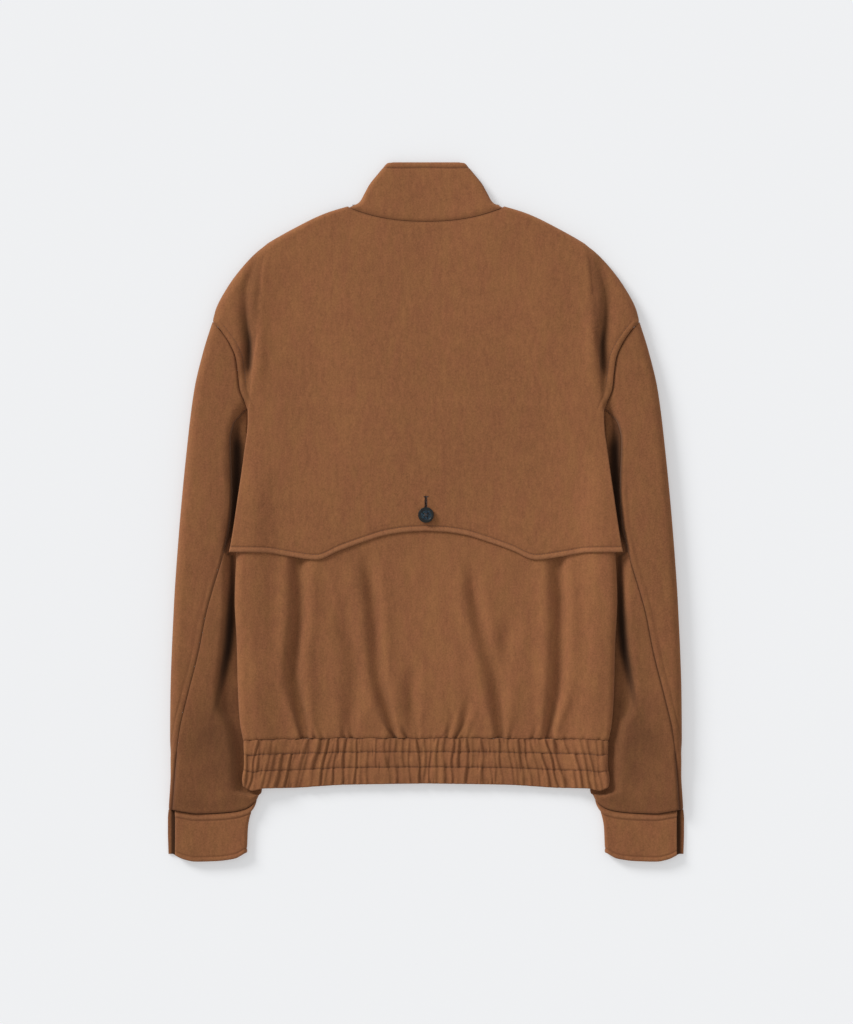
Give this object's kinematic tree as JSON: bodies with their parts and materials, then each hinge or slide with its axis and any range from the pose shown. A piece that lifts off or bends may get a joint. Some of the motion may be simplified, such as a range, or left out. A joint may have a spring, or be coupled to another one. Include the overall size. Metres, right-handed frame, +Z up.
{
  "type": "suede jacket, laid flat with its back up",
  "caption": "Brown suede jacket laid flat on its front: stand collar, shaped back flap closed by a button, gathered hem band, sleeves with lapped cuffs.",
  "frame": {"origin": "on the surface that the jacket lies on, under the middle of its laid outline", "axes": "+X to the right in the picture, +Y from the hem towards the collar, +Z up out of the back of the jacket"},
  "size_m": [0.5934, 0.8034, 0.0203],
  "materials": {
    "suede": "matt, fine soft nap",
    "button": "half gloss, dark marbled",
    "thread": "matt sewing thread"
  },
  "bodies": {
    "root": {"back_panel": "suede", "back_flap": "suede", "flap_button": "button", "button_thread": "thread", "front_left": "suede", "front_right": "suede", "hem_band_back": "suede", "hem_band_front_left": "suede", "hem_band_front_right": "suede", "collar": "suede", "sleeve_top_left": "suede", "sleeve_under_left": "suede", "sleeve_top_right": "suede", "sleeve_under_right": "suede", "cuff_left": "suede", "cuff_right": "suede"}
  },
  "joints": []
}
